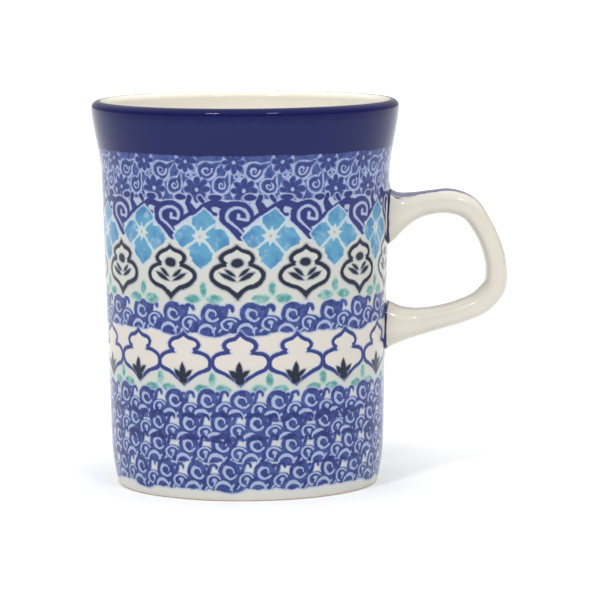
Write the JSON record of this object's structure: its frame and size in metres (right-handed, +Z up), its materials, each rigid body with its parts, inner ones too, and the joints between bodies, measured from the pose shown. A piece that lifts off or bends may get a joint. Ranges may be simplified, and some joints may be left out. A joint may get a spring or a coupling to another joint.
{
  "type": "mug",
  "caption": "Straight-sided stoneware mug with a slightly flared rim and one loop handle, stamped and glazed in blues over cream.",
  "frame": {"origin": "centre of the foot ring on the cup's axis, at the height of the surface that the mug stands on", "axes": "+Z up along the cup's axis, +X from the axis towards the handle, which lies in the XZ plane"},
  "size_m": [0.1081, 0.08, 0.1],
  "materials": {
    "stoneware": "fired, unglazed, fine-grained",
    "slip": "fired under the glaze and outlined in dark blue",
    "cobalt_glaze": "glossy",
    "outer_glaze": "glossy, stamped in blues, navy and teal over cream",
    "liner_glaze": "glossy",
    "handle_glaze": "glossy, with a blue brush stroke along the spine",
    "rosette_stamps": "glossy, sponge-stamped with cobalt rosettes and paisleys",
    "blossom_stamps": "glossy, sponge-stamped with sky-blue blossoms, cobalt hooks, navy medallions and teal leaves over cream",
    "lattice_stamps": "glossy, sponge-stamped with cobalt curls, linked ogees and teal leaves over cream",
    "curl_stamps": "glossy, sponge-stamped with four rows of cobalt curls over cream"
  },
  "bodies": {
    "root": {"stoneware_body": "stoneware", "handle": "stoneware", "upper_luting_slip": "slip", "lower_luting_slip": "slip", "rim_glaze": "cobalt_glaze", "outer_glaze": "outer_glaze", "inner_glaze": "liner_glaze", "underside_glaze": "liner_glaze", "handle_glaze": "handle_glaze"}
  },
  "joints": []
}
